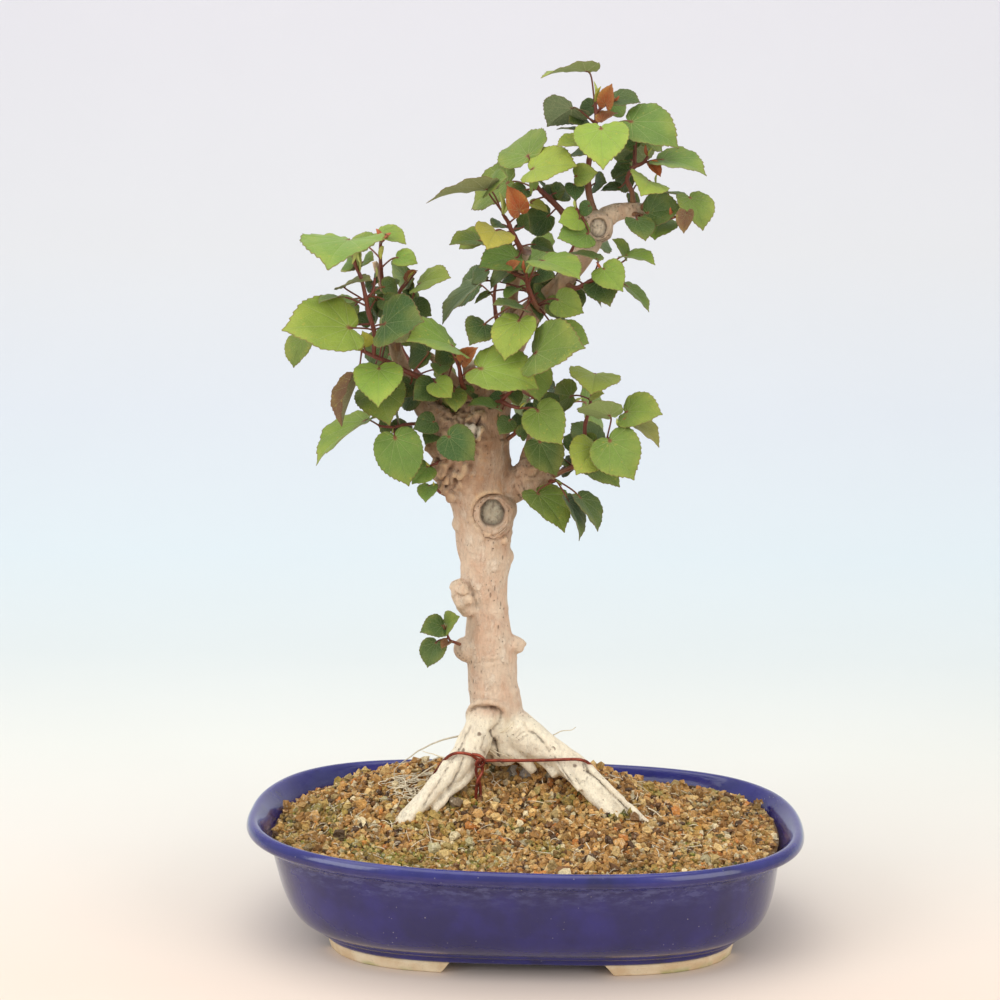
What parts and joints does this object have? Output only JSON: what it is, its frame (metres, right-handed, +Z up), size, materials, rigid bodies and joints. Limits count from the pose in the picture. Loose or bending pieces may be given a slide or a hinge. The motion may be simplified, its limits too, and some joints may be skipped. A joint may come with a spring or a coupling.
{
  "type": "sea hibiscus bonsai in an oval pot",
  "caption": "Sea hibiscus bonsai with a thick pale trunk, exposed roots and heart shaped toothed leaves, standing in granular soil in a blue glazed oval pot.",
  "frame": {"origin": "centre of the pot's outline on the plane that its feet stand on", "axes": "+Z up, X along the pot's long side, the front of the tree faces -Y"},
  "size_m": [0.339, 0.2338, 0.5274],
  "materials": {
    "glaze": "glossy deep blue glaze over buff stoneware feet",
    "soil": "matt granules",
    "mesh": "matt",
    "wire": "satin copper brown coating",
    "bark": "dry smooth bark",
    "leaf": "satin leaf"
  },
  "bodies": {
    "root": {"pot": "glaze", "soil": "soil", "drain_mesh_left": "mesh", "drain_mesh_right": "mesh", "tie_wire": "wire", "trunk": "bark", "spray_left": "leaf", "spray_left_back": "leaf", "spray_left_mid": "leaf", "spray_left_low": "leaf", "spray_crevice": "leaf", "spray_side": "leaf", "spray_bark": "leaf", "spray_front": "leaf", "spray_centre": "leaf", "spray_twig": "leaf", "spray_right": "leaf", "spray_right_low": "leaf", "spray_middle": "leaf", "spray_upper": "leaf", "spray_upper_left": "leaf", "spray_knot": "leaf", "spray_top": "leaf", "spray_top_right": "leaf", "spray_right_end": "leaf", "spray_right_tip": "leaf", "spray_middle_right": "leaf", "spray_back_left": "leaf", "spray_back_centre": "leaf", "spray_back_right": "leaf", "spray_back_upper": "leaf", "sprout_low": "leaf"}
  },
  "joints": []
}
